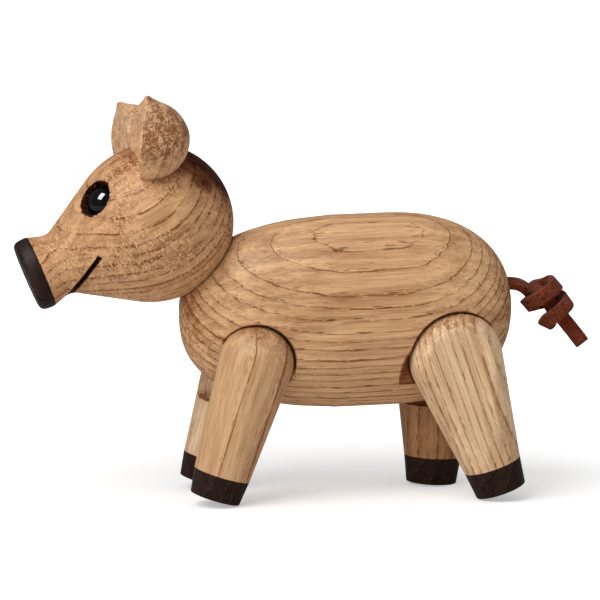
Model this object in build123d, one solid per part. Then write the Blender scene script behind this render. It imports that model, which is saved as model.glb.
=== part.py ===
from build123d import *
from math import acos, asin, atan2, cos, degrees, hypot, pi, radians, sin, tan
import os

# Wooden pig figurine with a turning head, four swinging legs and a knotted leather tail.
# The pig looks along -X, its own left side is -Y and +Z is up. Lengths are in mm, angles in degrees.

# Barrel
body_length = 84.1
body_radius = 24.3
body_half_width = 18.0
body_nose_length = 46.0
body_straight_length = 6.1
body_nose_fullness = 2.5
body_rump_fullness = 2.3

# Hips, measured from the barrel's ends and down from its axis
front_hip_back = 17.5
front_hip_drop = 10.35
rear_hip_forward = 16.4
rear_hip_drop = 11.6
leg_axis_side = 12.8
pocket_floor_side = 13.0
pocket_clearance = 0.3
rear_pocket_wider = 0.9
rear_pocket_forward = 1.0
rear_pocket_drop = 4.6
leg_gap = 0.25

# Legs, measured from the hip to the sole
front_leg_length = 35.4
front_thigh_radius = 9.4
front_ankle_radius = 7.1
front_sole_radius = 6.3
front_hoof_height = 6.2
rear_leg_length = 35.5
rear_thigh_radius = 11.8
rear_ankle_radius = 7.3
rear_sole_radius = 6.4
rear_hoof_height = 6.9
rear_face_side = 8.4
rear_face_round = 2.4
shoulder_drop = 15.0
shoulder_round = 4.0
sole_round = 0.25
front_left_swing = 17.0
front_right_swing = 17.0
rear_left_swing = -19.2
rear_right_swing = 3.0

# Pivot pegs, cords and ferrules of the legs
peg_radius = 3.5
peg_bore_radius = 1.8
peg_in_leg = 5.4
peg_in_body = 9.0
running_clearance = 0.1
cord_radius = 1.4
ferrule_radius = 2.3
ferrule_length = 2.4
ferrule_clearance = 0.3
ferrule_seat_depth = 2.8
hoof_dowel_radius = 2.5
hoof_dowel_in_leg = 7.0
hoof_dowel_in_hoof = 4.0

# Head, measured from the centre of the ball at its back
head_radius = 19.7
snout_length = 11.0
snout_joint_radius = 9.05
snout_waist_radius = 8.0
snout_waist_back = 4.0
snout_waist_round = 4.2
brow_round = 22.6
head_reach = 5.4
head_rise = 24.2
head_tilt = 20.8
head_turn = 2.0
neck_rise = 40.9
seat_gap = 0.25

# Snout cap
cap_thickness = 4.1
cap_radius = 9.2
cap_widest_front = 1.6
cap_front_radius = 7.2
cap_joint_slope_share = 0.45
nostril_radius = 1.3
nostril_depth = 1.2
nostril_side = 3.2
nostril_rise = 0.6
snout_dowel_radius = 3.0
snout_dowel_in_head = 8.0
snout_dowel_in_cap = 2.6

# Mouth
mouth_width = 1.2
mouth_end_forward = 16.7
mouth_end_drop = 1.1
mouth_slope = 34.5
mouth_length = 12.4
mouth_overrun = 4.0
mouth_web = 3.0

# Eyes, with the drill's direction as shares of one
eye_forward = 12.1
eye_around = 38.5
socket_radius = 4.65
socket_depth = 3.4
eye_radius = 4.1
eye_base = 0.9
eye_dome = 2.3
eye_lean_forward_share = 0.46
eye_lean_side_share = 0.64
eye_lean_up_share = 0.62

# Ears, with the centre of each ear's ball measured from the centre of the head's ball
ear_radius = 10.3
ear_face_front = 1.7
ear_tip_behind_face = 0.5
ear_hollow_radius = 26.0
ear_crease_round = 0.8
ear_splay = 10.0
ear_left_back = 5.5
ear_left_side = 12.5
ear_left_rise = 21.1
ear_left_lean = 19.5
ear_left_turn = 0.0
ear_right_back = 3.7
ear_right_side = 12.5
ear_right_rise = 19.3
ear_right_lean = 3.5
ear_right_turn = 10.0
ear_dowel_radius = 1.5
ear_dowel_in_head = 4.0
ear_dowel_in_ear = 3.6

# Neck peg, cord, ferrule and pin
neck_peg_radius = 4.0
neck_peg_bore_radius = 2.0
neck_peg_in_head = 10.0
neck_peg_in_body = 12.0
neck_bore_depth = 26.0
neck_cord_radius = 1.5
neck_ferrule_radius = 2.6
neck_ferrule_length = 3.0
neck_ferrule_seat_depth = 4.0
neck_pin_radius = 0.8
neck_pin_depth = 19.0
neck_pin_clearance = 0.05
neck_pin_recess = 2.0
neck_pin_reach = 8.0

# Tail: a leather lace with one double knot
lace_width = 3.6
lace_thickness = 2.2
lace_round = 0.6
tail_rise = 5.0
tail_bore_radius = 2.1
tail_bore_depth = 12.0
tail_in_bore = 11.0
tail_straight = 2.9
tail_bend_run = 4.1
tail_bend_fall = 36.0
knot_fall = 49.0
knot_entry_side = 1.1
first_band_radius = 4.6
first_band_width = 4.2
second_band_radius = 4.1
second_band_width = 3.6
band_gap = 1.1
band_gap_radius = 3.1
band_round = 0.8
tail_end_fall = 51.0
tail_end_length = 9.0
tail_bend_share = 0.45

# How far a cut runs past the wood
overrun = 6.0

SIDES = {"left": -1, "right": 1}
OUTLINE_STEPS = 12


def rounded_end(length, radius, fullness):
    """Points of a quarter outline, from the pole to the widest place."""
    points = []
    for step in range(OUTLINE_STEPS + 1):
        turn = step / OUTLINE_STEPS * pi / 2
        along = length * cos(turn) ** (2 / fullness)
        points.append((along, radius * sin(turn) ** (2 / fullness)))
    return points


def crossbar(radius, near, far):
    """A cylinder along Y from one side distance to another."""
    return Pos(0, (near + far) / 2, 0) * Rot(90, 0, 0) * Cylinder(radius, abs(far - near))


def upright(radius, low, high):
    """A cylinder along Z between two heights."""
    return Pos(0, 0, (low + high) / 2) * Cylinder(radius, high - low)


def lengthwise(radius, front, back):
    """A cylinder along X between two places."""
    return Pos((front + back) / 2, 0, 0) * Rot(0, 90, 0) * Cylinder(radius, back - front)


# How the barrel stands on its legs

def hip_height(length, sole_radius, swing):
    """Height of a hip when the edge of its tilted sole stands on the ground."""
    reach = (length - sole_round) * cos(radians(abs(swing)))
    heel = (sole_radius - sole_round) * sin(radians(abs(swing)))
    return reach + heel + sole_round


rear_hip_back = body_length - rear_hip_forward
front_hip_height = hip_height(front_leg_length, front_sole_radius, front_left_swing)
rear_hip_height = max(
    hip_height(rear_leg_length, rear_sole_radius, swing)
    for swing in (rear_left_swing, rear_right_swing)
)
hip_spacing = rear_hip_back - front_hip_back
hip_fall = rear_hip_drop - front_hip_drop
hip_span = hypot(hip_spacing, hip_fall)
body_pitch = degrees(asin((rear_hip_height - front_hip_height) / hip_span)) + degrees(
    atan2(hip_fall, hip_spacing)
)
body_place = (
    Pos(front_hip_back, 0, front_hip_height)
    * Rot(0, -body_pitch, 0)
    * Pos(-front_hip_back, 0, front_hip_drop)
)
hip_in_body = {
    "front": (front_hip_back, 0, -front_hip_drop),
    "rear": (rear_hip_back, 0, -rear_hip_drop),
}
hips = {pair: (body_place * Pos(*place)).position for pair, place in hip_in_body.items()}

# Frames of the neck and the head, at the centre of the head's ball

head_ball_to_cap = head_radius + snout_length
ball_centre = Pos(-head_reach, 0, head_rise)
neck_in_body = ball_centre * Rot(0, neck_rise - 90, 0)
neck_place = body_place * neck_in_body
head_place = neck_place * Rot(0, 0, head_turn) * Rot(0, 90 - neck_rise - head_tilt, 0)
turned_neck = Rot(0, head_tilt + neck_rise - 90, 0)


# Barrel

body_rump_length = body_length - body_nose_length - body_straight_length


def barrel():
    """The body before any cut, along its own axis from its front end, narrower than it is high."""
    nose = [(body_nose_length - along, radius)
            for along, radius in rounded_end(body_nose_length, body_radius, body_nose_fullness)]
    rump_start = body_length - body_rump_length
    rump = [(rump_start + along, radius)
            for along, radius in rounded_end(body_rump_length, body_radius, body_rump_fullness)]
    outline = (
        Spline(nose, tangents=[(0, 1), (1, 0)])
        + Line(nose[-1], rump[-1])
        + Spline(rump[::-1], tangents=[(1, 0), (0, -1)])
        + Line((body_length, 0), (0, 0))
    )
    return scale(revolve(make_face(outline), Axis.X), by=(1, body_half_width / body_radius, 1))


def leg_pocket(pair, side):
    """What is milled away for one leg, around its hip."""
    thigh = leg_sizes[pair][1]
    near = side * pocket_floor_side
    far = side * (body_radius + overrun)
    clear = thigh + pocket_clearance
    below = Box(clear + clear, abs(far - near), body_radius)
    pocket = crossbar(clear, near, far) + Pos(0, (near + far) / 2, -body_radius / 2) * below
    if pair == "rear":
        wider = crossbar(clear + rear_pocket_wider, near, far)
        pocket += Pos(-rear_pocket_forward, 0, -rear_pocket_drop) * wider
    return pocket


def make_body():
    wood = barrel()
    wood -= ball_centre * Sphere(head_radius + seat_gap)
    neck_bore = upright(
        neck_peg_radius + running_clearance,
        -head_radius - neck_bore_depth,
        -head_radius + overrun,
    )
    wood -= neck_in_body * neck_bore
    for pair, place in hip_in_body.items():
        hip = Pos(*place)
        wood -= hip * crossbar(peg_radius + running_clearance, -body_radius, body_radius)
        for side in SIDES.values():
            wood -= hip * leg_pocket(pair, side)
    pin_hole = neck_in_body * Pos(0, 0, -head_radius - neck_pin_depth)
    wood -= pin_hole * crossbar(neck_pin_radius, -neck_pin_reach, body_half_width + overrun)
    tail_bore = Pos(body_length, 0, tail_rise)
    wood -= tail_bore * lengthwise(tail_bore_radius, -tail_bore_depth, overrun)
    return body_place * wood


# Neck

def make_neck():
    """The pin across the barrel, and the rubber cord from it to a ferrule inside the head."""
    pin_height = -head_radius - neck_pin_depth
    pin_end = body_half_width - neck_pin_recess
    pin = Pos(0, 0, pin_height) * crossbar(neck_pin_radius, -neck_pin_reach, pin_end)
    seat = -head_radius + neck_peg_in_head - neck_ferrule_seat_depth
    cord_top = seat + neck_ferrule_length
    eye_radius_middle = neck_pin_radius + neck_pin_clearance + neck_cord_radius
    cord_eye = Pos(0, 0, pin_height) * Rot(90, 0, 0) * Torus(eye_radius_middle, neck_cord_radius)
    cord = upright(neck_cord_radius, pin_height + eye_radius_middle, cord_top) + cord_eye
    ferrule = upright(neck_ferrule_radius, seat, cord_top)
    ferrule -= upright(neck_cord_radius, seat, cord_top)
    return {
        "neck_pin": neck_place * pin,
        "neck_elastic": neck_place * cord,
        "neck_ferrule": neck_place * ferrule,
    }


def make_neck_peg():
    """The hollow peg that is glued in the head, in the head's own frame."""
    low = -head_radius - neck_peg_in_body
    high = -head_radius + neck_peg_in_head
    peg = upright(neck_peg_radius, low, high) - upright(neck_peg_bore_radius, low, high)
    seat_radius = neck_ferrule_radius + ferrule_clearance
    peg -= upright(seat_radius, high - neck_ferrule_seat_depth, high)
    return turned_neck * peg


# Head

def head_blank():
    """The turned head before any cut, with the ball's centre at the origin."""
    joint = Vector(-head_ball_to_cap, snout_joint_radius)
    waist_middle = Vector(
        -head_ball_to_cap + snout_waist_back, snout_waist_radius + snout_waist_round
    )
    brow_middle = Vector(0, head_radius - brow_round)
    to_joint = joint - waist_middle
    waist_start = degrees(
        atan2(to_joint.Y, to_joint.X) + acos(snout_waist_round / to_joint.length)
    )
    to_waist = waist_middle - brow_middle
    brow_end = degrees(
        atan2(to_waist.Y, to_waist.X) - acos((brow_round + snout_waist_round) / to_waist.length)
    )
    waist = CenterArc(waist_middle, snout_waist_round, waist_start, brow_end - 180 - waist_start)
    brow = CenterArc(brow_middle, brow_round, 90, brow_end - 90)
    outline = (
        Line(joint, waist @ 0)
        + waist
        + Line(waist @ 1, brow @ 1)
        + brow
        + CenterArc((0, 0), head_radius, 90, -90)
        + Line((head_radius, 0), (-head_ball_to_cap, 0))
        + Line((-head_ball_to_cap, 0), joint)
    )
    return revolve(make_face(outline), Axis.X)


turned_head = head_blank()
eye_line = Line((-eye_forward, 0, 0), (-eye_forward, 0, head_radius + head_radius))
eye_ring_radius = (eye_line & turned_head).length


def socket_place(side):
    """Frame on the socket's floor with Z pointing out of the head."""
    around = radians(eye_around)
    mouth = Vector(-eye_forward, side * eye_ring_radius * sin(around), eye_ring_radius * cos(around))
    out = Vector(-eye_lean_forward_share, side * eye_lean_side_share, eye_lean_up_share)
    out = out.normalized()
    return Plane(origin=mouth - out * socket_depth, z_dir=out).location


def ear_place(side_name):
    """Frame at the centre of an ear's ball, with Z towards the ear's tip and -X forward."""
    side = SIDES[side_name]
    back, out, rise, lean, turn = {
        "left": (ear_left_back, ear_left_side, ear_left_rise, ear_left_lean, ear_left_turn),
        "right": (ear_right_back, ear_right_side, ear_right_rise, ear_right_lean, ear_right_turn),
    }[side_name]
    return Pos(back, side * out, rise) * Rot(0, lean, 0) * Rot(-side * ear_splay, 0, turn)


def ear_dowel(side_name):
    """A dowel that points from the ball of the head to the ball of the ear."""
    towards = ear_place(side_name).position.normalized()
    along = Plane(origin=(0, 0, 0), z_dir=towards).location
    low = head_radius - ear_dowel_in_head
    return along * upright(ear_dowel_radius, low, head_radius + ear_dowel_in_ear)


def mouth_cut(side):
    """A straight saw cut into one side of the snout, up to a thin web in the middle."""
    length = mouth_length + mouth_overrun
    middle = side * (mouth_web + head_radius) / 2
    cut = Pos(-length / 2, middle, 0) * Box(length, head_radius, mouth_width)
    return Pos(-mouth_end_forward, 0, -mouth_end_drop) * Rot(0, -mouth_slope, 0) * cut


def snout_dowel():
    return lengthwise(
        snout_dowel_radius,
        -head_ball_to_cap - snout_dowel_in_cap,
        -head_ball_to_cap + snout_dowel_in_head,
    )


def make_head():
    wood = turned_head - snout_dowel()
    peg_hole = upright(neck_peg_radius, -head_radius - overrun, -head_radius + neck_peg_in_head)
    wood -= turned_neck * peg_hole
    for side_name, side in SIDES.items():
        wood -= mouth_cut(side)
        wood -= ear_dowel(side_name)
        wood -= socket_place(side) * upright(socket_radius, 0, socket_depth + overrun)
    return wood


def make_snout_cap():
    front = -head_ball_to_cap - cap_thickness
    widest = -head_ball_to_cap - cap_widest_front
    joint = (-head_ball_to_cap, snout_joint_radius)
    face_edge = (front, cap_front_radius)
    outline = (
        Line((front, 0), face_edge)
        + Spline([face_edge, (widest, cap_radius), joint], tangents=[(0, 1), (1, -cap_joint_slope_share)])
        + Line(joint, (-head_ball_to_cap, 0))
        + Line((-head_ball_to_cap, 0), (front, 0))
    )
    cap = revolve(make_face(outline), Axis.X)
    for side in SIDES.values():
        nostril = lengthwise(nostril_radius, front - overrun, front + nostril_depth)
        cap -= Pos(0, side * nostril_side, nostril_rise) * nostril
    return cap - snout_dowel()


def make_eye(side):
    """A flat-backed glass dome that stands on the floor of its socket."""
    height = eye_base + eye_dome
    dome_radius = (eye_radius**2 + eye_dome**2) / (eye_dome + eye_dome)
    glass = upright(eye_radius, 0, height) & Pos(0, 0, height - dome_radius) * Sphere(dome_radius)
    return socket_place(side) * glass


def ear_blank():
    """A turned ball drawn out to a blunt tip and hollowed in front from tip to base."""
    shoulder_shares = ((0, 1.06), (0.13, 1.0), (0.50, 0.79), (0.79, 0.55), (0.96, 0.24), (1, 0))
    shoulder = [(ear_radius * across, ear_radius * up) for across, up in shoulder_shares]
    outline = (
        Spline(shoulder, tangents=[(1, 0), (0, -1)])
        + CenterArc((0, 0), ear_radius, 0, -90)
        + Line((0, -ear_radius), shoulder[0])
    )
    ball = Rot(90, 0, 0) * revolve(make_face(outline), Axis.Y)
    tip = shoulder[0][1]
    face_tilt = degrees(asin((ear_face_front - ear_tip_behind_face) / tip))
    reach = ear_radius + overrun
    cutter = Pos(-ear_face_front - ear_hollow_radius, 0, 0) * upright(ear_hollow_radius, -reach, reach)
    hollowed = ball - Rot(0, face_tilt, 0) * cutter
    face = hollowed.faces().filter_by(GeomType.CYLINDER)[0]
    return fillet(face.edges(), ear_crease_round)


def make_ear(side_name):
    """An ear with its base dished to sit on the head."""
    return ear_place(side_name) * ear_blank() - turned_head - ear_dowel(side_name)


def make_head_pieces():
    pieces = {
        "head": make_head(),
        "snout_cap": make_snout_cap(),
        "snout_dowel": snout_dowel(),
        "neck_peg": make_neck_peg(),
    }
    for side_name, side in SIDES.items():
        pieces[f"eye_{side_name}"] = make_eye(side)
        pieces[f"ear_{side_name}"] = make_ear(side_name)
        pieces[f"ear_{side_name}_dowel"] = ear_dowel(side_name)
    return {name: head_place * piece for name, piece in pieces.items()}


# Legs

leg_sizes = {
    "front": (front_leg_length, front_thigh_radius, front_ankle_radius, front_sole_radius,
              front_hoof_height),
    "rear": (rear_leg_length, rear_thigh_radius, rear_ankle_radius, rear_sole_radius,
             rear_hoof_height),
}
swings = {
    "front_left": front_left_swing,
    "front_right": front_right_swing,
    "rear_left": rear_left_swing,
    "rear_right": rear_right_swing,
}
leg_flat_side = pocket_floor_side + leg_gap - leg_axis_side
leg_block = rear_thigh_radius + rear_thigh_radius + rear_leg_length


def turned_leg(pair):
    """A domed taper with the hip at the origin and the hoof joint at its lower end."""
    length, thigh, ankle, sole, hoof = leg_sizes[pair]
    joint = hoof - length
    slope = atan2(joint, ankle) + acos(thigh / hypot(joint, ankle))
    shoulder = (thigh * cos(slope), thigh * sin(slope))
    outline = (
        CenterArc((0, 0), thigh, 90, degrees(slope) - 90)
        + Line(shoulder, (ankle, joint))
        + Line((ankle, joint), (0, joint))
        + Line((0, joint), (0, thigh))
    )
    return Rot(90, 0, 0) * revolve(make_face(outline), Axis.Y)


def turned_hoof(pair):
    length, thigh, ankle, sole, hoof = leg_sizes[pair]
    joint = hoof - length
    outline = Polyline((0, -length), (sole, -length), (ankle, joint), (0, joint), close=True)
    solid = Rot(90, 0, 0) * revolve(make_face(outline), Axis.Y)
    return fillet(solid.edges().group_by(Axis.Z)[0], sole_round)


def hoof_dowel(pair):
    length, thigh, ankle, sole, hoof = leg_sizes[pair]
    joint = hoof - length
    return upright(hoof_dowel_radius, joint - hoof_dowel_in_hoof, joint + hoof_dowel_in_leg)


def inner_cut(side):
    """What is sawn away inside the thigh so that it lies flat in its pocket."""
    block = Pos(0, -side * leg_block / 2, leg_block / 2) * Box(leg_block, leg_block, leg_block)
    lengthwise_edges = block.edges().filter_by(Axis.X)
    corner = lengthwise_edges.sort_by(lambda edge: edge.center().Z - side * edge.center().Y)[0]
    block = fillet(corner, shoulder_round)
    return Pos(0, side * leg_flat_side, -shoulder_drop) * block


def leg_pieces(pair, side):
    """The pieces of one leg in the leg's own frame."""
    wood = turned_leg(pair)
    if pair == "rear":
        slab = Box(leg_block, leg_block, leg_block)
        wood -= Pos(0, side * (rear_face_side + leg_block / 2), 0) * slab
        face = wood.faces().filter_by(GeomType.PLANE).sort_by(Axis.Y)
        outer = face[-1] if side > 0 else face[0]
        wood = fillet(outer.edges(), rear_face_round)
    peg_outer = side * (leg_flat_side + peg_in_leg)
    peg_inner = side * (leg_flat_side - leg_gap - peg_in_body)
    wood -= inner_cut(side)
    wood -= crossbar(peg_radius, side * leg_flat_side, peg_outer)
    wood -= hoof_dowel(pair)
    peg = crossbar(peg_radius, peg_inner, peg_outer) - crossbar(peg_bore_radius, peg_inner, peg_outer)
    seat_floor = peg_outer - side * ferrule_seat_depth
    peg -= crossbar(ferrule_radius + ferrule_clearance, seat_floor, peg_outer)
    return {
        "leg": wood,
        "hoof": turned_hoof(pair) - hoof_dowel(pair),
        "hoof_dowel": hoof_dowel(pair),
        "peg": peg,
    }


def make_legs():
    pieces = {}
    for pair, hip in hips.items():
        for side_name, side in SIDES.items():
            leg = f"{pair}_{side_name}"
            place = Pos(hip.X, side * leg_axis_side, hip.Z) * Rot(0, swings[leg], 0)
            for name, piece in leg_pieces(pair, side).items():
                pieces[f"{leg}_{name}"] = place * piece
    return pieces


def make_leg_cords():
    """The rubber cord through each pair of legs, with a ferrule crimped on each end."""
    pieces = {}
    seat_floor = leg_axis_side + leg_flat_side + peg_in_leg - ferrule_seat_depth
    cord_end = seat_floor + ferrule_length
    for pair, hip in hips.items():
        place = Pos(hip.X, 0, hip.Z)
        pieces[f"{pair}_elastic"] = place * crossbar(cord_radius, -cord_end, cord_end)
        for side_name, side in SIDES.items():
            ferrule = crossbar(ferrule_radius, side * seat_floor, side * cord_end)
            ferrule -= crossbar(cord_radius, side * seat_floor, side * cord_end)
            pieces[f"{pair}_{side_name}_ferrule"] = place * ferrule
    return pieces


# Tail

def falling(length, fall):
    """A step of a given length, backwards and down by an angle."""
    return Vector(length * cos(radians(fall)), 0, -length * sin(radians(fall)))


def lace_section(place, along, across, through):
    """The lace's cross section, square to its run, with one size along Y and one in the tail's plane."""
    return Plane(origin=place, x_dir=(0, 1, 0), z_dir=along) * RectangleRounded(
        across, through, lace_round
    )


hole = (body_place * Pos(body_length, 0, tail_rise)).position
inner_end = (body_place * Pos(body_length - tail_in_bore, 0, tail_rise)).position
bend = (body_place * Pos(body_length + tail_straight, 0, tail_rise)).position
knot_entry = bend + falling(tail_bend_run, tail_bend_fall)
knot_start = knot_entry + falling(knot_entry_side, knot_fall - 90)
knot_length = first_band_width + band_gap + second_band_width
knot_exit = knot_start + falling(knot_length, knot_fall)
tail_tip = knot_exit + falling(tail_end_length, tail_end_fall)


def make_knot():
    """Two bands of the lace wound round itself, seen as one turned form."""
    first_end = first_band_width
    second_start = first_end + band_gap
    outline = make_face(Polyline(
        (0, 0),
        (0, first_band_radius),
        (first_end, first_band_radius),
        (first_end, band_gap_radius),
        (second_start, band_gap_radius),
        (second_start, second_band_radius),
        (knot_length, second_band_radius),
        (knot_length, 0),
        close=True,
    ))
    middle_radius = (band_gap_radius + second_band_radius) / 2
    outer = [corner for corner in outline.vertices() if corner.Y > middle_radius]
    knot = revolve(fillet(outer, band_round), Axis.X)
    return Pos(*knot_start) * Rot(0, knot_fall, 0) * knot


def make_tail():
    knot = make_knot()
    turn = falling(tail_bend_run, tail_bend_fall).get_angle(bend - inner_end)
    shorter = min(tail_bend_run, (bend - inner_end).length)
    bend_radius = tail_bend_share * shorter / tan(radians(turn / 2))
    print("tail bend radius", round(bend_radius, 2))
    into_knot = knot_entry + falling(band_gap, tail_bend_fall)
    path = FilletPolyline(inner_end, bend, into_knot, radius=bend_radius)
    lace = sweep(lace_section(inner_end, bend - inner_end, lace_width, lace_thickness), path=path) - knot
    end_start = knot_exit - falling(band_gap, tail_end_fall)
    end_run = tail_tip - end_start
    free_end = extrude(lace_section(end_start, end_run, lace_thickness, lace_width), end_run.length) - knot
    return {"tail_lace": lace, "tail_knot": knot, "tail_end": free_end}


# The whole figurine, moved so that the origin is under the middle of everything but the tail

pieces = {"body": make_body()}
pieces.update(make_neck())
pieces.update(make_leg_cords())
pieces.update(make_head_pieces())
pieces.update(make_legs())
standing = Compound([solid for piece in pieces.values() for solid in piece.solids()])
extent = standing.bounding_box(optimal=True)
centre_shift = Pos(-(extent.min.X + extent.max.X) / 2, -(extent.min.Y + extent.max.Y) / 2, 0)
pieces.update(make_tail())
pieces = {name: centre_shift * piece for name, piece in pieces.items()}

os.makedirs("parts", exist_ok=True)
for name, piece in pieces.items():
    export_step(piece, f"parts/{name}.step")
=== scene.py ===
import math

import bpy
from mathutils import Matrix, Vector, noise


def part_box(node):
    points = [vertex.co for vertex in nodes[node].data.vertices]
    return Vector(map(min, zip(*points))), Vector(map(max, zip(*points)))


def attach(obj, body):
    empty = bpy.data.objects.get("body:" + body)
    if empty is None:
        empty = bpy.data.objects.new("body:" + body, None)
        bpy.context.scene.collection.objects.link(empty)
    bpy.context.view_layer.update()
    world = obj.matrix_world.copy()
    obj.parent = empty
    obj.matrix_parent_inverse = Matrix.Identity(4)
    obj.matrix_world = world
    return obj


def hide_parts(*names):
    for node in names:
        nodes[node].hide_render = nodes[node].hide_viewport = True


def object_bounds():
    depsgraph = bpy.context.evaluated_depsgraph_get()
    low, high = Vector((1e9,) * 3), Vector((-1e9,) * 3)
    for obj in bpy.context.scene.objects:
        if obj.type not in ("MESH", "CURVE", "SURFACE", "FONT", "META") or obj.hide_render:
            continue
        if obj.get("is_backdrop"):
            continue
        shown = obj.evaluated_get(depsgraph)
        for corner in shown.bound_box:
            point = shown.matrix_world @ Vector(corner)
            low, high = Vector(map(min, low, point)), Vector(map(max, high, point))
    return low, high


MM = 0.001

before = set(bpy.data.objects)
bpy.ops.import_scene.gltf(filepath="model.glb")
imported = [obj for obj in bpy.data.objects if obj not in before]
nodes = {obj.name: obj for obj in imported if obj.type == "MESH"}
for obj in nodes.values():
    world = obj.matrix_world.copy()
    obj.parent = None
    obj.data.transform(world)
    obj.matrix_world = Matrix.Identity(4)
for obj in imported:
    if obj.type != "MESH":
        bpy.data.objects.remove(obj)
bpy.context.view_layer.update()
scene = bpy.context.scene


# Camera, at the photograph's height and side

PICTURE_WIDTH = 600
SENSOR_WIDTH = 36.0
CAMERA_AZIMUTH = -7.5
CAMERA_ELEVATION = 7.2
CAMERA_DISTANCE = 1.0
CAMERA_TARGET = Vector((0.00831, 0.0, 0.04937))
PIXELS_PER_METRE = 3980


def place_camera():
    a, e = math.radians(CAMERA_AZIMUTH), math.radians(CAMERA_ELEVATION)
    back = Vector((math.sin(a) * math.cos(e), -math.cos(a) * math.cos(e), math.sin(e)))
    data = bpy.data.cameras.new("camera")
    camera = bpy.data.objects.new("camera", data)
    scene.collection.objects.link(camera)
    camera.location = CAMERA_TARGET + back * CAMERA_DISTANCE
    camera.rotation_mode = "QUATERNION"
    camera.rotation_quaternion = (-back).to_track_quat("-Z", "Y")
    data.sensor_width = SENSOR_WIDTH
    data.lens = PIXELS_PER_METRE * SENSOR_WIDTH * CAMERA_DISTANCE / PICTURE_WIDTH
    data.clip_start, data.clip_end = 0.05, 20.0
    scene.camera = camera


place_camera()
scene.view_settings.view_transform = "Standard"


# The tail's lace: one smooth route from inside the rump, round its own knot, to the free end

KNOT_START = Vector((68.73, -0.47, 51.21))
KNOT_FALL = math.radians(49.0)
ALONG = Vector((math.cos(KNOT_FALL), 0.0, -math.sin(KNOT_FALL)))
ACROSS = Vector((math.sin(KNOT_FALL), 0.0, math.cos(KNOT_FALL)))
NEAR = Vector((0.0, -1.0, 0.0))


def in_knot(along, across, near):
    """A direction or an offset in the knot's own frame."""
    return ALONG * along + ACROSS * across + NEAR * near


def knot_point(along, across, near):
    return KNOT_START + in_knot(along, across, near)


LACE_WIDTH = 3.7
LACE_THICKNESS = 2.1
LACE_CORNER = 0.35
CORNER_STEPS = 3
ROUTE_STEPS = 10
SWELL = 0.03
SWELL_RATE = 260
SWELL_ROW = (3.0, 1.0)

# Each row is a point of the route in mm and the way the lace's flat side faces there
route = [
    (Vector((50.8, -0.47, 52.5)), Vector((0.0, -0.35, 1.0))),
    (Vector((54.6, -0.47, 52.6)), Vector((0.0, -0.35, 1.0))),
    (Vector((58.4, -0.47, 52.7)), Vector((0.0, -0.35, 1.0))),
    (Vector((61.9, -0.47, 52.9)), Vector((0.1, -0.35, 1.0))),
    (Vector((64.2, -0.47, 52.5)), Vector((0.4, -0.40, 0.9))),
    (Vector((66.0, -0.57, 51.3)), Vector((0.6, -0.45, 0.8))),
    (knot_point(-0.9, -1.9, -0.4), in_knot(0.2, 0.7, 0.6)),
    (knot_point(0.9, -0.9, -0.9), in_knot(0.0, 0.3, 1.0)),
    (knot_point(3.0, 0.1, -1.2), in_knot(0.0, 0.0, 1.0)),
    (knot_point(6.0, 0.2, -1.2), in_knot(0.0, 0.0, 1.0)),
    (knot_point(8.2, -0.4, -1.4), in_knot(0.3, 0.2, 1.0)),
    (knot_point(9.4, -2.2, -1.8), in_knot(1.0, -0.1, 0.3)),
    (knot_point(8.6, -3.9, -0.4), in_knot(0.5, -1.0, 0.0)),
    (knot_point(7.5, -4.1, 1.8), in_knot(0.1, -1.0, 0.4)),
    (knot_point(7.3, -2.8, 3.2), in_knot(0.0, -0.6, 1.0)),
    (knot_point(7.4, 0.0, 3.5), in_knot(0.0, 0.0, 1.0)),
    (knot_point(7.4, 2.6, 3.1), in_knot(0.0, 0.6, 1.0)),
    (knot_point(7.1, 3.8, 1.4), in_knot(0.1, 1.0, 0.4)),
    (knot_point(6.6, 3.9, -1.6), in_knot(0.1, 1.0, -0.5)),
    (knot_point(5.8, 2.4, -3.4), in_knot(0.0, 0.5, -1.0)),
    (knot_point(4.4, 0.0, -3.6), in_knot(0.0, 0.0, -1.0)),
    (knot_point(3.0, -2.8, -3.4), in_knot(0.0, -0.5, -1.0)),
    (knot_point(1.6, -4.3, -1.6), in_knot(0.0, -1.0, -0.4)),
    (knot_point(1.1, -4.4, 1.4), in_knot(0.0, -1.0, 0.4)),
    (knot_point(1.2, -3.0, 3.3), in_knot(0.0, -0.6, 1.0)),
    (knot_point(1.6, 0.0, 3.5), in_knot(0.0, 0.0, 1.0)),
    (knot_point(2.0, 3.0, 3.2), in_knot(0.0, 0.6, 1.0)),
    (knot_point(2.1, 4.4, 1.6), in_knot(0.0, 1.0, 0.4)),
    (knot_point(1.7, 4.3, -1.2), in_knot(0.0, 1.0, -0.5)),
    (knot_point(0.6, 3.2, -2.0), in_knot(-0.5, 0.7, -0.6)),
    (knot_point(-0.6, 1.7, -1.4), in_knot(-1.0, 0.3, 0.0)),
    (knot_point(-1.1, -0.2, -0.4), in_knot(-1.0, -0.2, 0.4)),
    (knot_point(0.6, -0.4, 1.0), in_knot(-0.3, 0.0, 1.0)),
    (knot_point(3.0, -0.1, 1.1), in_knot(0.0, 0.0, 1.0)),
    (knot_point(6.0, 0.1, 1.0), in_knot(0.0, 0.0, 1.0)),
    (knot_point(9.3, 0.1, 0.9), in_knot(0.0, 0.0, 1.0)),
    (knot_point(12.4, 0.0, 0.8), in_knot(0.0, 0.0, 1.0)),
    (knot_point(15.3, -0.1, 0.8), in_knot(0.0, 0.0, 1.0)),
    (knot_point(18.0, -0.3, 0.8), in_knot(0.0, 0.0, 1.0)),
]


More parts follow.
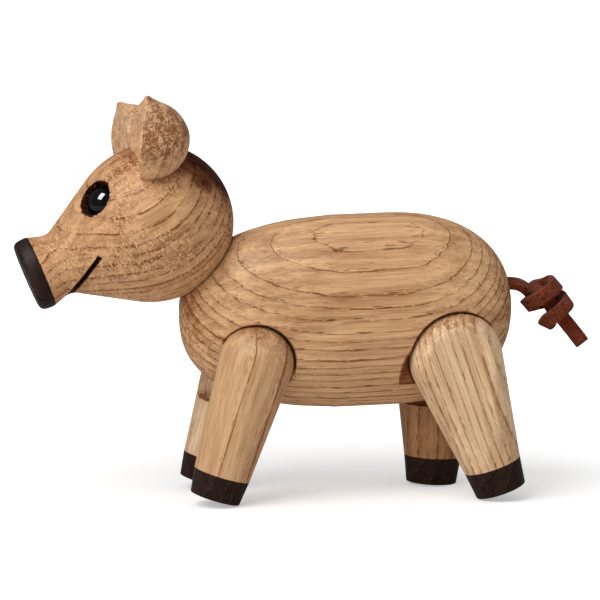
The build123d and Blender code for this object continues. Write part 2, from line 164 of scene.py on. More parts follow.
def smooth_line(name, points):
    """The points of a smooth spline that follows the given points, in metres."""
    curve = bpy.data.curves.new(name, "CURVE")
    curve.dimensions = "3D"
    spline = curve.splines.new("NURBS")
    spline.points.add(len(points) - 1)
    for control, point in zip(spline.points, points):
        control.co = (*(point * MM), 1.0)
    spline.order_u = 3
    spline.use_endpoint_u = True
    spline.resolution_u = ROUTE_STEPS
    holder = bpy.data.objects.new(name, curve)
    mesh = bpy.data.meshes.new_from_object(holder)
    line = [vertex.co.copy() for vertex in mesh.vertices]
    bpy.data.objects.remove(holder)
    bpy.data.curves.remove(curve)
    bpy.data.meshes.remove(mesh)
    return line


def lace_outline():
    """Corners of the lace's cross section, with rounded edges."""
    outline = []
    for sx, sy, start in ((1, 1, 0), (-1, 1, 90), (-1, -1, 180), (1, -1, 270)):
        for step in range(CORNER_STEPS + 1):
            turn = math.radians(start + step * 90 / CORNER_STEPS)
            x = sx * (LACE_WIDTH / 2 - LACE_CORNER) + LACE_CORNER * math.cos(turn)
            y = sy * (LACE_THICKNESS / 2 - LACE_CORNER) + LACE_CORNER * math.sin(turn)
            outline.append((x * MM, y * MM))
    return outline


def make_lace():
    """The tail as one mesh, with the points of its centreline."""
    centre = smooth_line("lace_route", [point for point, face in route])
    guide = smooth_line("lace_guide", [point + face.normalized() for point, face in route])
    outline = lace_outline()
    vertices, faces = [], []
    count = len(outline)
    run = 0.0
    for i, point in enumerate(centre):
        if i:
            run += (point - centre[i - 1]).length
        tangent = (centre[min(i + 1, len(centre) - 1)] - centre[max(i - 1, 0)]).normalized()
        face = guide[i] - point
        face = (face - tangent * face.dot(tangent)).normalized()
        side = tangent.cross(face)
        swell = 1.0 + SWELL * noise.noise(Vector((run * SWELL_RATE, *SWELL_ROW)))
        for x, y in outline:
            vertices.append(point + side * (x * swell) + face * (y * swell))
    for i in range(len(centre) - 1):
        for j in range(count):
            a, b = i * count + j, i * count + (j + 1) % count
            faces.append((a, b, b + count, a + count))
    faces.append(tuple(range(count))[::-1])
    faces.append(tuple((len(centre) - 1) * count + j for j in range(count)))
    mesh = bpy.data.meshes.new("tail")
    mesh.from_pydata(vertices, [], faces)
    mesh.update()
    lace = bpy.data.objects.new("tail", mesh)
    scene.collection.objects.link(lace)
    for polygon in mesh.polygons:
        polygon.use_smooth = len(polygon.vertices) == 4
    return lace, centre


lace, lace_centre = make_lace()
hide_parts("tail_lace", "tail_knot", "tail_end")
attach(lace, "body")


# Materials

def linear(red, green, blue):
    """A colour written as in a picture file, for a shader."""
    def one(value):
        value = value / 255
        return value / 12.92 if value <= 0.04045 else ((value + 0.055) / 1.055) ** 2.4
    return (one(red), one(green), one(blue), 1.0)


class Tree:
    """Short names for building shader nodes."""

    def __init__(self, tree):
        self.tree = tree

    def node(self, kind, **settings):
        made = self.tree.nodes.new(kind)
        for key, value in settings.items():
            setattr(made, key, value)
        return made

    def put(self, value, socket):
        if isinstance(value, bpy.types.NodeSocket):
            self.tree.links.new(value, socket)
        else:
            socket.default_value = value

    def math(self, operation, a, b=0.0, clamp=False):
        made = self.node("ShaderNodeMath", operation=operation, use_clamp=clamp)
        self.put(a, made.inputs[0])
        self.put(b, made.inputs[1])
        return made.outputs[0]

    def plus(self, a, b):
        return self.math("ADD", a, b)

    def minus(self, a, b):
        return self.math("SUBTRACT", a, b)

    def times(self, a, b):
        return self.math("MULTIPLY", a, b)

    def over(self, a, b):
        return self.math("DIVIDE", a, b)

    def most(self, a, b):
        return self.math("MAXIMUM", a, b)

    def length(self, a, b):
        """The length of two sides at a right angle."""
        return self.math("SQRT", self.plus(self.times(a, a), self.times(b, b)))

    def vector(self, operation, a, b=(0.0, 0.0, 0.0)):
        made = self.node("ShaderNodeVectorMath", operation=operation)
        self.put(a, made.inputs[0])
        self.put(b, made.inputs[1])
        return made.outputs["Value" if operation in ("LENGTH", "DOT_PRODUCT") else "Vector"]

    def parts(self, vector):
        made = self.node("ShaderNodeSeparateXYZ")
        self.put(vector, made.inputs[0])
        return made.outputs

    def join(self, x, y, z):
        made = self.node("ShaderNodeCombineXYZ")
        for value, socket in zip((x, y, z), made.inputs):
            self.put(value, socket)
        return made.outputs[0]

    def noise(self, vector, scale=1.0, detail=2.0, roughness=0.5, distortion=0.0, output="Fac"):
        made = self.node("ShaderNodeTexNoise")
        self.put(vector, made.inputs["Vector"])
        made.inputs["Scale"].default_value = scale
        made.inputs["Detail"].default_value = detail
        made.inputs["Roughness"].default_value = roughness
        made.inputs["Distortion"].default_value = distortion
        return made.outputs[output]

    def cells(self, vector):
        """The distance to the nearest of many scattered points, one in each unit cube."""
        made = self.node("ShaderNodeTexVoronoi", feature="F1")
        self.put(vector, made.inputs["Vector"])
        made.inputs["Scale"].default_value = 1.0
        return made.outputs["Distance"]

    def smooth(self, value, low, high, to_low=0.0, to_high=1.0):
        made = self.node("ShaderNodeMapRange", interpolation_type="SMOOTHSTEP")
        self.put(value, made.inputs["Value"])
        made.inputs["From Min"].default_value = low
        made.inputs["From Max"].default_value = high
        made.inputs["To Min"].default_value = to_low
        made.inputs["To Max"].default_value = to_high
        return made.outputs["Result"]

    def mix(self, factor, a, b, blend="MIX"):
        made = self.node("ShaderNodeMix", data_type="RGBA", blend_type=blend)
        self.put(factor, made.inputs[0])
        self.put(a, made.inputs[6])
        self.put(b, made.inputs[7])
        return made.outputs[2]

    def darken(self, color, by):
        return self.mix(1.0, color, by, blend="MULTIPLY")

    def relief(self, height, strength, depth, shader):
        """Raises and sinks a surface by a pattern, up to a depth in metres."""
        made = self.node("ShaderNodeBump")
        made.inputs["Strength"].default_value = strength
        made.inputs["Distance"].default_value = depth
        self.put(height, made.inputs["Height"])
        self.put(made.outputs[0], shader["Normal"])


# How often each pattern of the wood repeats in a millimetre, along the fibres and twice across them
PER_MM = {
    "drift": (0.010, 0.030, 0.030),
    "ripple": (0.05, 0.5, 0.5),
    "wide pores": (0.20, 1.9, 1.9),
    "fine pores": (0.24, 3.0, 3.0),
    "pore patches": (0.03, 0.30, 0.30),
    "fibres": (0.06, 2.1, 2.1),
    "streaks": (0.016, 0.45, 0.45),
    "tone": (0.02, 0.06, 0.06),
    "flecks": (0.45, 1.7, 1.7),
    "rays": (1.6, 0.75, 0.75),
    "ray patches": (0.08, 0.06, 0.06),
    "curl": (0.7, 1.1, 1.1),
}
MIDDLE = 0.5
DRIFT_REACH = 3.0
RIPPLE_REACH = 0.55
ARC_RADIUS = 60.0
RINGS_UNEVEN = 1.3
RINGS_UNEVEN_RATE = 0.55
LEAST_SLOPE = 0.03
LINE_BEFORE_EDGE = (0.55, 0.05)
LINE_AFTER_EDGE = (0.16, 0.0)
LINE_BREAKS = (0.16, 5.3, 0.12)
FLECKS_ASIDE = (7.0, 3.0, 5.0)


def make_wood_group():
    """Oak cut from a log: rings round the pith, bands of open pores, rays and fibres.

    Place is in mm with X along the fibres and the pith at Y = Z = 0; Facing is the surface's
    normal in the same frame.
    """
    group = bpy.data.node_groups.new("oak", "ShaderNodeTree")
    face = group.interface
    for name, kind in (("Place", "Vector"), ("Facing", "Vector"), ("Ring", "Float"),
                       ("Light", "Color"), ("Dark", "Color"), ("Pore", "Color"),
                       ("Pores", "Float"), ("Lines", "Float"), ("Rays", "Float"), ("End", "Float")):
        face.new_socket(name, in_out="INPUT", socket_type="NodeSocket" + kind)
    for name, kind in (("Color", "Color"), ("Roughness", "Float"), ("Height", "Float")):
        face.new_socket(name, in_out="OUTPUT", socket_type="NodeSocket" + kind)
    t = Tree(group)
    given = t.node("NodeGroupInput").outputs
    result = t.node("NodeGroupOutput").inputs
    place = given["Place"]

    def spread(where, pattern):
        return t.vector("MULTIPLY", where, PER_MM[pattern])

    def wander(pattern, reach, detail):
        """A small shift across the fibres."""
        by = t.noise(spread(place, pattern), detail=detail, output="Color")
        by = t.vector("SUBTRACT", by, (MIDDLE, MIDDLE, MIDDLE))
        return t.vector("MULTIPLY", by, (0.0, reach, reach))

    # Growth rings, with their number, and the place between two ring edges as a share
    bent = t.vector("ADD", place, wander("drift", DRIFT_REACH, 1.0))
    bent = t.vector("ADD", bent, wander("ripple", RIPPLE_REACH, 2.0))
    x, y, z = t.parts(bent)
    radius = t.length(y, z)
    arc = t.times(t.math("ARCTAN2", z, y), ARC_RADIUS)
    rings = t.over(radius, given["Ring"])
    uneven = t.noise(t.join(t.times(rings, RINGS_UNEVEN_RATE), 3.3, 1.7), detail=1.0)
    rings = t.plus(rings, t.times(uneven, RINGS_UNEVEN))
    phase = t.math("FRACT", rings)
    number = t.math("FLOOR", rings)
    own = t.node("ShaderNodeTexWhiteNoise", noise_dimensions="1D")
    t.put(number, own.inputs["W"])
    own = own.outputs["Value"]

    # Dark ring lines of an even width along the surface, broken into dashes
    facing = t.parts(given["Facing"])
    across = t.over(t.plus(t.times(facing[1], y), t.times(facing[2], z)), radius)
    slope = t.math("SQRT", t.most(t.minus(1.0, t.times(across, across)), LEAST_SLOPE))
    to_edge = t.over(t.times(t.minus(1.0, phase), given["Ring"]), slope)
    from_edge = t.over(t.times(phase, given["Ring"]), slope)
    line = t.most(t.smooth(to_edge, *LINE_BEFORE_EDGE), t.smooth(from_edge, *LINE_AFTER_EDGE))
    breaks = [t.times(value, rate) for value, rate in zip((x, number, arc), LINE_BREAKS)]
    broken = t.noise(t.join(*breaks))
    line = t.times(line, t.smooth(broken, 0.36, 0.60, 0.10, 1.0))
    early = t.most(t.smooth(phase, 0.30, 0.05), t.smooth(phase, 0.93, 1.0))
    late = t.smooth(phase, 0.25, 0.95)
    end = t.smooth(t.math("ABSOLUTE", facing[0]), 0.45, 0.92)

    # Open pores: wide ones in the early wood, fine ones in patches
    wide = t.times(t.smooth(t.cells(spread(bent, "wide pores")), 0.36, 0.16), early)
    patch = t.smooth(t.noise(spread(bent, "pore patches")), 0.42, 0.66)
    fine = t.times(t.smooth(t.cells(spread(bent, "fine pores")), 0.32, 0.14), patch)
    pores = t.math("MULTIPLY", t.most(wide, t.times(fine, 0.50)), given["Pores"], clamp=True)

    # Fibres, streaks, flecks beside the ring edges, rays in patches and the curl of end grain
    fibre = t.noise(spread(bent, "fibres"), detail=3.0, roughness=0.65)
    streak = t.noise(spread(bent, "streaks"), detail=3.0)
    tone = t.noise(spread(place, "tone"))
    fleck = t.smooth(t.cells(t.vector("ADD", spread(bent, "flecks"), FLECKS_ASIDE)), 0.30, 0.12)
    fleck = t.times(fleck, t.most(t.smooth(phase, 0.42, 0.10), t.smooth(phase, 0.80, 0.88)))
    rays = t.times(given["Rays"], t.smooth(t.noise(spread(place, "ray patches"), detail=1.0), 0.38, 0.54))
    ray = t.times(t.smooth(t.noise(spread(place, "rays"), distortion=1.4), 0.52, 0.58), rays)
    curl = t.smooth(t.noise(spread(place, "curl"), detail=3.0, distortion=1.2), 0.40, 0.62)

    line_strength = t.times(given["Lines"], t.plus(0.50, t.times(own, 0.45)))
    end_strength = t.times(given["End"], t.plus(0.15, t.times(curl, 0.55)))
    depth = t.times(end, end_strength)
    for pattern, strength in (
        (t.smooth(fibre, 0.30, 0.70), 0.32),
        (t.smooth(streak, 0.34, 0.66), 0.34),
        (late, 0.10),
        (rays, 0.12),
        (line, line_strength),
        (t.minus(own, MIDDLE), 0.16),
        (t.minus(tone, MIDDLE), 0.65),
    ):
        depth = t.plus(depth, t.times(pattern, strength))
    color = t.mix(depth, given["Light"], given["Dark"])
    pale = t.most(t.times(fleck, 0.55), t.times(ray, 0.80))
    color = t.mix(pale, color, given["Light"])
    t.put(t.mix(t.times(pores, 0.80), color, given["Pore"]), result["Color"])

    rough = t.plus(0.46, t.times(fibre, 0.10))
    t.put(t.plus(rough, t.times(pores, 0.25)), result["Roughness"])
    height = t.minus(t.times(fibre, 0.30), pores)
    height = t.plus(height, t.times(pale, 0.20))
    t.put(t.minus(height, t.times(line, 0.25)), result["Height"])
    return group


wood_group = make_wood_group()

OAK_LIGHT = linear(234, 191, 143)
OAK_DARK = linear(142, 88, 46)
OAK_PORE = linear(84, 44, 20)
WOOD_RELIEF = 0.2 * MM


def new_material(name):
    material = bpy.data.materials.new(name)
    material.use_nodes = True
    material.node_tree.nodes.clear()
    t = Tree(material.node_tree)
    shader = t.node("ShaderNodeBsdfPrincipled")
    output = t.node("ShaderNodeOutputMaterial")
    t.put(shader.outputs[0], output.inputs["Surface"])
    return material, t, shader.inputs


def log_frame(origin, fibre, towards_pith, pith_distance):
    """Turns a place on the object, in metres, into a place in the log, in mm."""
    fibre = Vector(fibre).normalized()
    away = -Vector(towards_pith)
    away = (away - fibre * away.dot(fibre)).normalized()
    side = fibre.cross(away)
    turn = Matrix((fibre, away, side))
    offset = turn @ (Vector(origin) / -MM) + Vector((0.0, pith_distance, 0.0))
    return turn, offset


def wood(name, origin, fibre, towards_pith, pith_distance, ring, light=OAK_LIGHT, dark=OAK_DARK,
         pore=OAK_PORE, pores=1.0, lines=1.0, rays=0.3, end=1.0, bump=0.35, gloss=0.09, stains_and_shade=()):
    """An oak material whose rings, pores and rays follow one log's frame."""
    material, t, shader = new_material(name)
    turn, offset = log_frame(origin, fibre, towards_pith, pith_distance)
    where = t.node("ShaderNodeTexCoord").outputs
    place = t.node("ShaderNodeMapping", vector_type="POINT")
    t.put(where["Object"], place.inputs["Vector"])
    place.inputs["Location"].default_value = offset
    place.inputs["Rotation"].default_value = turn.to_euler("XYZ")
    place.inputs["Scale"].default_value = (1 / MM, 1 / MM, 1 / MM)
    facing = t.node("ShaderNodeMapping", vector_type="POINT")
    t.put(where["Normal"], facing.inputs["Vector"])
    facing.inputs["Rotation"].default_value = turn.to_euler("XYZ")
    oak = t.node("ShaderNodeGroup", node_tree=wood_group)
    for key, value in (
        ("Place", place.outputs[0]), ("Facing", facing.outputs[0]), ("Ring", ring), ("Light", light),
        ("Dark", dark), ("Pore", pore), ("Pores", pores), ("Lines", lines), ("Rays", rays), ("End", end),
    ):
        t.put(value, oak.inputs[key])
    color = oak.outputs["Color"]
    # Burns, dirt and painted shade laid over the grain
    for recolor in stains_and_shade:
        color = recolor(t, where["Object"], color)
    t.put(color, shader["Base Color"])
    t.put(oak.outputs["Roughness"], shader["Roughness"])
    shader["Specular IOR Level"].default_value = gloss
    t.relief(oak.outputs["Height"], bump, WOOD_RELIEF, shader)
    return material


SOCKET_RAGGED = 1.5
SOCKET_EDGE = (0.22, 0.04)
SOCKET_FLOOR = (-1.0, -0.5)
SOCKET_TOP = (4.5, 4.0)
SLOT_RAGGED = 0.14
SLOT_EDGE = (0.16, 0.06)
SLOT_END_SCORCH = 0.12 * MM
POCKET_EDGE = (0.45, 0.05)
POCKET_MOUTH = (4.6, 3.4)
POCKET_FLOOR = (-0.8, -0.3)
CLOUD_REACH = 12.0


def burnt_round(centre, axis, radius, depth):
    """Darkens the wall and the ragged edge of a drilled hole, from its floor to just above its mouth."""
    centre, axis = Vector(centre) * MM, Vector(axis).normalized()

    def recolor(t, place, color):
        away = t.vector("SUBTRACT", place, tuple(centre))
        height = t.times(t.vector("DOT_PRODUCT", away, tuple(axis)), 1 / MM)
        reach = t.times(t.vector("LENGTH", away), 1 / MM)
        distance = t.minus(t.times(reach, reach), t.times(height, height))
        distance = t.math("SQRT", t.most(distance, 0.0))
        ragged = t.minus(t.noise(place, scale=1700.0), 0.45)
        distance = t.minus(distance, t.times(ragged, SOCKET_RAGGED))
        inside = t.smooth(distance, *(radius + edge for edge in SOCKET_EDGE))
        inside = t.times(inside, t.smooth(height, *SOCKET_FLOOR))
        inside = t.times(inside, t.smooth(height, *(depth + top for top in SOCKET_TOP)))
        patch = t.noise(place, scale=900.0, detail=3.0)
        burnt = t.mix(t.smooth(patch, 0.35, 0.75), linear(30, 14, 9), linear(104, 52, 30))
        return t.mix(inside, color, burnt)

    return recolor


def painted_shade_side(centre, axis, near, far, strength):
    """Painted shade: browns the wood on one side of a place, mottled, from one distance along the axis to
    another.
    """
    centre, axis = Vector(centre), Vector(axis).normalized()

    def recolor(t, place, color):
        along = t.vector("DOT_PRODUCT", t.vector("SUBTRACT", place, tuple(centre)), tuple(axis))
        cloud = t.noise(place, scale=170.0, detail=4.0, roughness=0.6)
        along = t.plus(t.times(along, 1 / MM), t.times(t.minus(cloud, MIDDLE), CLOUD_REACH))
        # The colour of the painted shade, multiplied over the wood
        brown = t.darken(color, linear(150, 112, 84))
        return t.mix(t.times(t.smooth(along, near, far), strength), color, brown)

    return recolor


def pocket_shade_and_dirt(hip, radius, side):
    """Darkens the floor and the wall of a leg's pocket in the barrel: painted shade of the recess, with
    dirt in its end grain.
    """
    hip = Vector(hip)

    def recolor(t, place, color):
        away = t.parts(t.vector("SUBTRACT", place, tuple(hip)))
        reach = t.times(t.length(away[0], away[2]), 1 / MM)
        out = t.times(away[1], side / MM)
        inside = t.smooth(reach, *(radius + edge for edge in POCKET_EDGE))
        inside = t.times(inside, t.smooth(out, *POCKET_MOUTH))
        inside = t.times(inside, t.smooth(out, *POCKET_FLOOR))
        # Painted shade and dirt: the pocket's inside is multiplied darker
        return t.mix(inside, color, t.darken(color, linear(170, 138, 114)))

    return recolor


def burnt_slot(end, along, width):
    """Darkens the two walls of a straight saw cut."""
    end, along = Vector(end) * MM, Vector(along).normalized()
    square = along.cross(Vector((0.0, 1.0, 0.0))).normalized()

    def recolor(t, place, color):
        away = t.vector("SUBTRACT", place, tuple(end))
        across = t.math("ABSOLUTE", t.vector("DOT_PRODUCT", away, tuple(square)))
        beyond = t.vector("DOT_PRODUCT", away, tuple(along))
        ragged = t.times(t.noise(place, scale=1500.0), SLOT_RAGGED)
        across = t.plus(t.times(across, 1 / MM), ragged)
        inside = t.smooth(across, *(width / 2 + edge for edge in SLOT_EDGE))
        inside = t.times(inside, t.math("GREATER_THAN", beyond, -SLOT_END_SCORCH))
        patch = t.noise(place, scale=1300.0, detail=3.0)
        burnt = t.mix(t.smooth(patch, 0.45, 0.8), linear(84, 52, 38), linear(150, 100, 70))
        return t.mix(inside, color, burnt)

    return recolor


HEAD = (-0.0283098, -0.0004675, 0.0695356)
HEAD_X = Vector((0.9243, 0.0307, 0.3804))
HEAD_Y = Vector((-0.0221, 0.9994, -0.0270))
HEAD_Z = Vector((-0.3810, 0.0165, 0.9244))


def on_head(x, y, z):
    """A place in the head's frame, in mm, as a place on the object."""
    return Vector(HEAD) / MM + HEAD_X * x + HEAD_Y * y + HEAD_Z * z


MOUTH_WIDTH = 1.2
MOUTH_SLOPE = math.radians(34.5)
MOUTH_END = on_head(-16.7, 0.0, -1.1)
MOUTH_ALONG = -HEAD_X * math.cos(MOUTH_SLOPE) - HEAD_Z * math.sin(MOUTH_SLOPE)

# Each eye socket's centre in mm and the way it faces
SOCKET_RADIUS = 4.65
SOCKET_DEPTH = 3.4
EYES = {
    "left": ((-41.9048, -8.5213, 75.5099), (-0.6455, -0.6417, 0.4143)),
    "right": ((-42.2546, 7.2884, 75.0827), (-0.6737, 0.6340, 0.3798)),
}

# Each hip's place in metres and its side
HIPS = {
    "front_left": ((-0.00446, -0.01327, 0.03563), -1),
    "front_right": ((-0.00446, 0.01233, 0.03563), 1),
    "rear_left": ((0.04575, -0.01327, 0.03577), -1),
    "rear_right": ((0.04575, 0.01233, 0.03577), 1),
}
FRONT_POCKET_RADIUS = 9.7
REAR_POCKET_RADIUS = 12.1
REAR_POCKET_LOW_RADIUS = 13.0

# Each round of a leg's pocket: its centre in metres, its radius in mm and its side
POCKETS = [
    (HIPS["front_left"][0], FRONT_POCKET_RADIUS, -1),
    (HIPS["front_right"][0], FRONT_POCKET_RADIUS, 1),
    (HIPS["rear_left"][0], REAR_POCKET_RADIUS, -1),
    (HIPS["rear_right"][0], REAR_POCKET_RADIUS, 1),
    ((0.0446, -0.01327, 0.0312), REAR_POCKET_LOW_RADIUS, -1),
    ((0.0446, 0.01233, 0.0312), REAR_POCKET_LOW_RADIUS, 1),
]

BODY_FRONT = (-0.0222, -0.0005, 0.0455)
body_oak = wood(
    "body_oak", BODY_FRONT, (0.9992, 0.0, 0.038), (0.0, 0.72, -0.69), 71.2, ring=1.8,
    light=linear(236, 189, 142), lines=0.9, end=0.7, rays=0.0, pores=1.2,
    # Painted shade, with dirt, in the legs' pockets
    stains_and_shade=[pocket_shade_and_dirt(place, radius, side) for place, radius, side in POCKETS],
)
head_oak = wood(
    "head_oak", HEAD, (0.86, 0.03, 0.50), (0.48, 0.38, -0.79), 60.0, ring=2.3,
    light=linear(226, 177, 130), dark=linear(128, 78, 44), rays=1.0, end=0.4, lines=1.2, gloss=0.05,
    stains_and_shade=[
        # Painted shade on the back and top of the head, the side turned away from the key light
        painted_shade_side(HEAD, HEAD_X * 0.75 + HEAD_Z * 0.66, 8.0, 18.0, 1.0),
        painted_shade_side(HEAD, HEAD_X * 0.85 + HEAD_Z * 0.45, 12.0, 19.0, 0.9),
        burnt_round(*EYES["left"], SOCKET_RADIUS, SOCKET_DEPTH),
        burnt_round(*EYES["right"], SOCKET_RADIUS, SOCKET_DEPTH),
        burnt_slot(MOUTH_END, MOUTH_ALONG, MOUTH_WIDTH),
    ],
)
ear_left_oak = wood(
    "ear_left_oak", (-0.0310, -0.0124, 0.0915), (0.35, -0.88, 0.25), (1.0, 0.4, -0.3), 40.0, ring=2.6,
    light=linear(242, 194, 148), dark=linear(138, 88, 54), lines=0.3, rays=0.6, end=1.2,
)
ear_right_oak = wood(
    "ear_right_oak", (-0.0325, 0.0125, 0.0884), (-0.5, -0.80, 0.30), (1.0, -0.3, -0.4), 46.0, ring=2.4,
    light=linear(240, 200, 156), dark=linear(150, 98, 60), lines=0.3, pores=1.6, end=0.6,
)

# The way each leg points down from its hip
FRONT_LEG_ALONG = (-0.2924, 0.0, -0.9563)
REAR_LEFT_LEG_ALONG = (0.3289, 0.0, -0.9444)
REAR_RIGHT_LEG_ALONG = (-0.0523, 0.0, -0.9986)
LEG_OAK = {
    "front_left": wood(
        "front_left_oak", HIPS["front_left"][0], FRONT_LEG_ALONG, (0.95, 0.12, 0.0), 73.2, ring=8.0,
        light=linear(222, 180, 136), dark=linear(150, 98, 56), lines=3.5, pores=0.7, rays=0.2,
    ),
    "front_right": wood(
        "front_right_oak", HIPS["front_right"][0], FRONT_LEG_ALONG, (0.8, 0.6, 0.0), 57.0, ring=3.4,
        light=linear(250, 218, 180),
    ),
    "rear_left": wood(
        "rear_left_oak", HIPS["rear_left"][0], REAR_LEFT_LEG_ALONG, (-1.0, 0.25, 0.0), 63.0, ring=1.9,
        light=linear(246, 212, 170), dark=linear(164, 112, 68), lines=0.8,
    ),
    "rear_right": wood(
        "rear_right_oak", HIPS["rear_right"][0], REAR_RIGHT_LEG_ALONG, (0.9, -0.45, 0.0), 50.0, ring=2.7,
        light=linear(205, 154, 110), dark=linear(126, 78, 44),
    ),
}


SMOKED_PITH_DISTANCE = 40.0


def smoked(name, origin, fibre, towards_pith, aside):
    """Smoked oak: nearly black, with paler rays and pores filled with dust."""
    return wood(
        name, origin, fibre, towards_pith, SMOKED_PITH_DISTANCE + aside, ring=2.6,
        light=linear(54, 37, 30), dark=linear(20, 13, 10), pore=linear(112, 88, 72),
        pores=0.45, lines=0.8, rays=0.4, end=0.3, bump=0.5, gloss=0.05,
    )


PLAIN_DARKER = 0.75
PLAIN_RELIEF = 0.1 * MM
SUEDE_RELIEF = 0.2 * MM


def plain(name, color, roughness, metallic=0.0):
    """A hidden fitting's finish, with a little unevenness."""
    material, t, shader = new_material(name)
    where = t.node("ShaderNodeTexCoord").outputs["Object"]
    patch = t.noise(where, scale=900.0, detail=3.0)
    darker = tuple(value * PLAIN_DARKER for value in color[:3]) + (1.0,)
    t.put(t.mix(t.smooth(patch, 0.3, 0.7), color, darker), shader["Base Color"])
    t.put(t.plus(roughness - 0.05, t.times(patch, 0.1)), shader["Roughness"])
    shader["Metallic"].default_value = metallic
    t.relief(patch, 0.15, PLAIN_RELIEF, shader)
    return material


def make_suede():
    """Suede: rust brown with a cloudy nap and dark worn flecks."""
    material, t, shader = new_material("suede")
    where = t.node("ShaderNodeTexCoord").outputs["Object"]
    nap = t.noise(where, scale=2600.0, detail=3.0, roughness=0.7)
    cloud = t.noise(where, scale=420.0, detail=3.0, distortion=0.6)
    fleck = t.noise(where, scale=1500.0, distortion=1.5)
    color = t.mix(t.smooth(cloud, 0.3, 0.7), linear(90, 32, 8), linear(122, 50, 20))
    color = t.mix(t.times(t.smooth(nap, 0.45, 0.75), 0.75), color, linear(164, 88, 50))
    color = t.mix(t.times(t.smooth(fleck, 0.52, 0.36), 0.8), color, linear(46, 12, 4))
    t.put(color, shader["Base Color"])
    t.put(t.plus(0.82, t.times(nap, 0.12)), shader["Roughness"])
    shader["Specular IOR Level"].default_value = 0.15
    shader["Sheen Weight"].default_value = 0.05
    shader["Sheen Roughness"].default_value = 0.5
    t.relief(t.plus(nap, t.times(fleck, 0.8)), 0.6, SUEDE_RELIEF, shader)
    return material


def make_eye_glass():
    """Black glass with a soft, nearly invisible mottling under the polish."""
    material, t, shader = new_material("eye_glass")
    where = t.node("ShaderNodeTexCoord").outputs["Object"]
    patch = t.noise(where, scale=300.0)
    t.put(t.mix(t.smooth(patch, 0.3, 0.7), linear(6, 6, 9), linear(12, 12, 17)), shader["Base Color"])
    t.put(t.plus(0.02, t.times(patch, 0.02)), shader["Roughness"])
    shader["Specular IOR Level"].default_value = 0.25
    return material


suede = make_suede()
eye_glass = make_eye_glass()
beech = plain("beech", linear(206, 168, 124), 0.6)
rubber = plain("rubber_cord", linear(214, 204, 180), 0.8)
brass = plain("ferrule_brass", linear(190, 150, 84), 0.35, metallic=1.0)
steel = plain("pin_steel", linear(170, 172, 176), 0.3, metallic=1.0)


def dress(node, material):
    """Gives a node of the frame a finished material."""
    for slot in nodes[node].material_slots:
        slot.material = material


CAP_CENTRE = on_head(-33.0, 0.0, 0.0) * MM
CAP_ASIDE = 3.0
HOOF_FIBRE = (0.2, 0.3, 1.0)
HOOF_TOWARDS_PITH = (1.0, 0.5, 0.1)
HOOF_APART = 2.3

dress("body", body_oak)
dress("head", head_oak)
dress("ear_left", ear_left_oak)
dress("ear_right", ear_right_oak)
dress("snout_cap", smoked("snout_smoked", CAP_CENTRE, HEAD_Z, HEAD_Y, CAP_ASIDE))
for side in ("left", "right"):
    dress(f"eye_{side}", eye_glass)
    dress(f"ear_{side}_dowel", beech)
for index, (leg, leg_oak) in enumerate(LEG_OAK.items()):
    low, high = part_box(f"{leg}_hoof")
    dress(f"{leg}_leg", leg_oak)
    middle = (low + high) / 2
    hoof_oak = smoked(f"{leg}_smoked", middle, HOOF_FIBRE, HOOF_TOWARDS_PITH, index * HOOF_APART)
    dress(f"{leg}_hoof", hoof_oak)
    dress(f"{leg}_hoof_dowel", beech)
    dress(f"{leg}_peg", beech)
    dress(f"{leg}_ferrule", brass)
for node in ("snout_dowel", "neck_peg"):
    dress(node, beech)
for node in ("front_elastic", "rear_elastic", "neck_elastic"):
    dress(node, rubber)
dress("neck_ferrule", brass)
dress("neck_pin", steel)
lace.data.materials.append(suede)


# Floor, lights and backdrop

FLOOR_HALF = 3.0
FLOOR_GLOW_FROM = 0.05
FLOOR_GLOW_TO = 0.20
FLOOR_GLOW_NEAR = 0.40
FLOOR_GLOW_FAR = 0.95
WORLD_LIGHT = 0.42
WORLD_IN_GLOSS = 0.18
LAMPS_AIM = Vector((0.0, 0.0, 0.05))


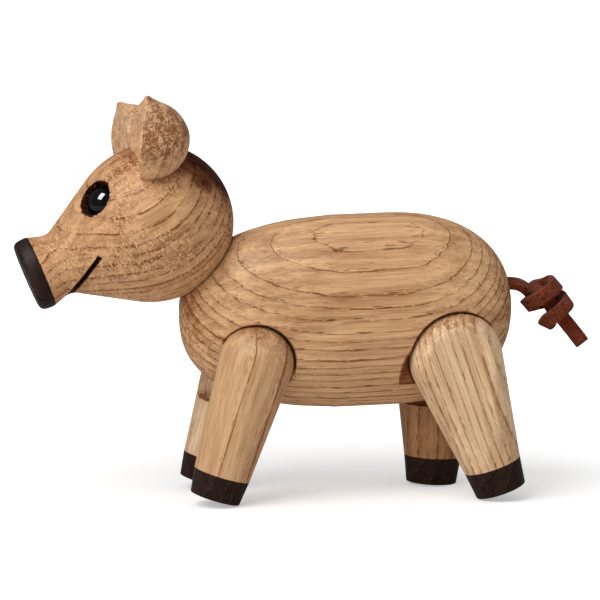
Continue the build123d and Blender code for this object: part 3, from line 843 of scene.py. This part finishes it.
def make_floor():
    """A pale paper floor that turns white for the camera away from the object."""
    mesh = bpy.data.meshes.new("floor")
    corners = [(x * FLOOR_HALF, y * FLOOR_HALF, 0) for x, y in ((-1, -1), (1, -1), (1, 1), (-1, 1))]
    mesh.from_pydata(corners, [], [(0, 1, 2, 3)])
    floor = bpy.data.objects.new("floor", mesh)
    scene.collection.objects.link(floor)
    material = bpy.data.materials.new("floor")
    material.use_nodes = True
    material.node_tree.nodes.clear()
    t = Tree(material.node_tree)
    where = t.node("ShaderNodeTexCoord").outputs["Object"]
    paper = t.noise(where, scale=40.0, detail=3.0)
    diffuse = t.node("ShaderNodeBsdfDiffuse")
    t.put(t.mix(paper, (0.80, 0.80, 0.80, 1), (0.82, 0.82, 0.82, 1)), diffuse.inputs["Color"])
    glow = t.node("ShaderNodeEmission")
    path = t.node("ShaderNodeLightPath").outputs
    away = t.vector("LENGTH", t.vector("SUBTRACT", where, (0.01, 0.0, 0.0)))
    level = t.smooth(away, FLOOR_GLOW_FROM, FLOOR_GLOW_TO, FLOOR_GLOW_NEAR, FLOOR_GLOW_FAR)
    t.put(t.times(path["Is Camera Ray"], level), glow.inputs["Strength"])
    add = t.node("ShaderNodeAddShader")
    t.put(diffuse.outputs[0], add.inputs[0])
    t.put(glow.outputs[0], add.inputs[1])
    output = t.node("ShaderNodeOutputMaterial")
    t.put(add.outputs[0], output.inputs["Surface"])
    mesh.materials.append(material)
    floor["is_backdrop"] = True


def make_world():
    """An even soft light, white behind the object."""
    world = bpy.data.worlds.new("studio")
    world.use_nodes = True
    scene.world = world
    t = Tree(world.node_tree)
    world.node_tree.nodes.clear()
    path = t.node("ShaderNodeLightPath").outputs
    backdrop = t.node("ShaderNodeBackground")
    backdrop.inputs["Color"].default_value = (1, 1, 1, 1)
    level = t.plus(WORLD_LIGHT, t.times(path["Is Camera Ray"], 1.0 - WORLD_LIGHT))
    level = t.minus(level, t.times(path["Is Glossy Ray"], WORLD_LIGHT - WORLD_IN_GLOSS))
    t.put(level, backdrop.inputs["Strength"])
    output = t.node("ShaderNodeOutputWorld")
    t.put(backdrop.outputs[0], output.inputs["Surface"])


def softbox(name, direction, distance, width, height, power):
    """A rectangular lamp at a distance from the object, turned towards it."""
    data = bpy.data.lights.new(name, "AREA")
    data.shape = "RECTANGLE"
    data.size, data.size_y = width, height
    data.energy = power
    lamp = bpy.data.objects.new(name, data)
    scene.collection.objects.link(lamp)
    direction = Vector(direction).normalized()
    lamp.location = LAMPS_AIM + direction * distance
    lamp.rotation_mode = "QUATERNION"
    lamp.rotation_quaternion = direction.to_track_quat("Z", "Y")
    return lamp


make_floor()
make_world()

# The soft light on the wood, and the window that the polished eyes show
key = softbox("key", (-0.50, -0.50, 0.71), distance=0.9, width=0.65, height=0.85, power=6.2)
key.visible_glossy = False
window = softbox("window", (-0.525, -0.334, 0.782), distance=0.7, width=0.28, height=0.46, power=17.0)
window.visible_diffuse = False

low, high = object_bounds()
